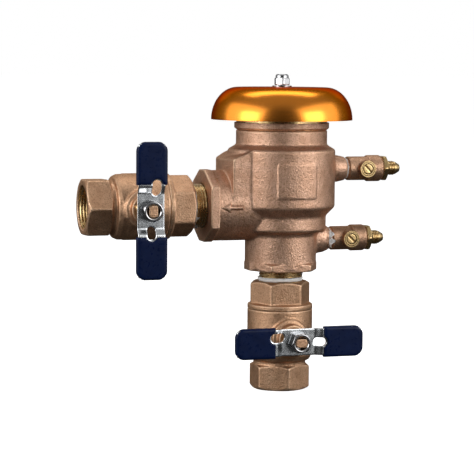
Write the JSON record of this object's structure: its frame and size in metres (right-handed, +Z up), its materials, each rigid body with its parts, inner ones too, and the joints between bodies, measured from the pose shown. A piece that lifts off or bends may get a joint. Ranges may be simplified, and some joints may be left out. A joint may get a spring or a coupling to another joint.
{
  "type": "backflow preventer",
  "caption": "Pressure vacuum breaker: bronze body with an air inlet under a round canopy, a ball valve at inlet and outlet, and test cocks.",
  "frame": {"origin": "centre of the inlet valve's end face, on the axis of the body", "axes": "+Z up along the body's axis from the inlet to the canopy, -X along the outlet, +X along the test cocks, -Y along the valve stems"},
  "size_m": [0.2543, 0.1088, 0.2429],
  "materials": {
    "cast_bronze": "sand-cast bronze, satin, brown",
    "machined_brass": "machined, bright",
    "orange_aluminium": "spun and anodised orange-gold, glossy",
    "plated_steel": "zinc plated, semi-bright",
    "bright_steel": "polished",
    "blue_vinyl": "dipped navy vinyl, semi-gloss",
    "black_rubber": "matt",
    "white_ptfe": "soft white PTFE",
    "moulded_plastic": "moulded black"
  },
  "bodies": {
    "body": {"body_casting": "cast_bronze", "bonnet": "machined_brass", "bonnet_seal": "black_rubber", "canopy": "orange_aluminium", "canopy_stud": "plated_steel", "canopy_washer": "bright_steel", "canopy_nut": "bright_steel", "inlet_nipple": "machined_brass", "outlet_nipple": "machined_brass", "inlet_thread_tape": "white_ptfe", "outlet_thread_tape": "white_ptfe", "loading_spring": "plated_steel", "check_spring": "plated_steel", "inlet_valve_body": "cast_bronze", "inlet_retainer": "cast_bronze", "inlet_outer_seat": "white_ptfe", "inlet_inner_seat": "white_ptfe", "inlet_packing": "white_ptfe", "inlet_gland_nut": "machined_brass", "outlet_valve_body": "cast_bronze", "outlet_retainer": "cast_bronze", "outlet_outer_seat": "white_ptfe", "outlet_inner_seat": "white_ptfe", "outlet_packing": "white_ptfe", "outlet_gland_nut": "machined_brass", "upper_cock_body": "cast_bronze", "upper_cock_packing": "black_rubber", "upper_cock_gland": "machined_brass", "upper_cock_flare": "machined_brass", "upper_cock_tape": "white_ptfe", "lower_cock_body": "cast_bronze", "lower_cock_packing": "black_rubber", "lower_cock_gland": "machined_brass", "lower_cock_flare": "machined_brass", "lower_cock_tape": "white_ptfe"},
    "inlet_handle_assembly": {"inlet_ball": "bright_steel", "inlet_stem": "machined_brass", "inlet_handle": "plated_steel", "inlet_handle_nut": "bright_steel", "inlet_grip_a": "blue_vinyl", "inlet_grip_b": "blue_vinyl"},
    "outlet_handle_assembly": {"outlet_ball": "bright_steel", "outlet_stem": "machined_brass", "outlet_handle": "plated_steel", "outlet_handle_nut": "bright_steel", "outlet_grip_a": "blue_vinyl", "outlet_grip_b": "blue_vinyl"},
    "upper_plug": {"upper_cock_plug": "machined_brass"},
    "lower_plug": {"lower_cock_plug": "machined_brass"},
    "air_inlet": {"air_inlet_poppet": "moulded_plastic", "air_inlet_disc": "black_rubber", "disc_retainer": "plated_steel", "poppet_nut": "plated_steel"},
    "check": {"check_poppet": "moulded_plastic", "check_disc": "black_rubber", "check_guide": "moulded_plastic", "check_screw": "plated_steel"}
  },
  "joints": [
    {"name": "inlet_valve_turn", "type": "hinge", "parent": "body", "child": "inlet_handle_assembly", "pos_m": [0, 0, 0.0415], "axis": [0, -1, 0], "range_deg": [0, 90]},
    {"name": "outlet_valve_turn", "type": "hinge", "parent": "body", "child": "outlet_handle_assembly", "pos_m": [-0.1155, 0, 0.1427], "axis": [0, -1, 0], "range_deg": [0, 90]},
    {"name": "upper_cock_turn", "type": "hinge", "parent": "body", "child": "upper_plug", "pos_m": [0.067, 0, 0.17], "axis": [0, -1, 0], "range_deg": [-45, 45]},
    {"name": "lower_cock_turn", "type": "hinge", "parent": "body", "child": "lower_plug", "pos_m": [0.054, 0, 0.1158], "axis": [0, -1, 0], "range_deg": [-45, 45]},
    {"name": "air_inlet_lift", "type": "slide", "parent": "body", "child": "air_inlet", "axis": [0, 0, 1], "range_m": [0, 0.0079], "stiffness_N_per_m": 310, "springref_m": -0.012, "deforming": ["loading_spring"]},
    {"name": "check_lift", "type": "slide", "parent": "body", "child": "check", "axis": [0, 0, 1], "range_m": [0, 0.008], "stiffness_N_per_m": 305, "springref_m": -0.012, "deforming": ["check_spring"]}
  ]
}
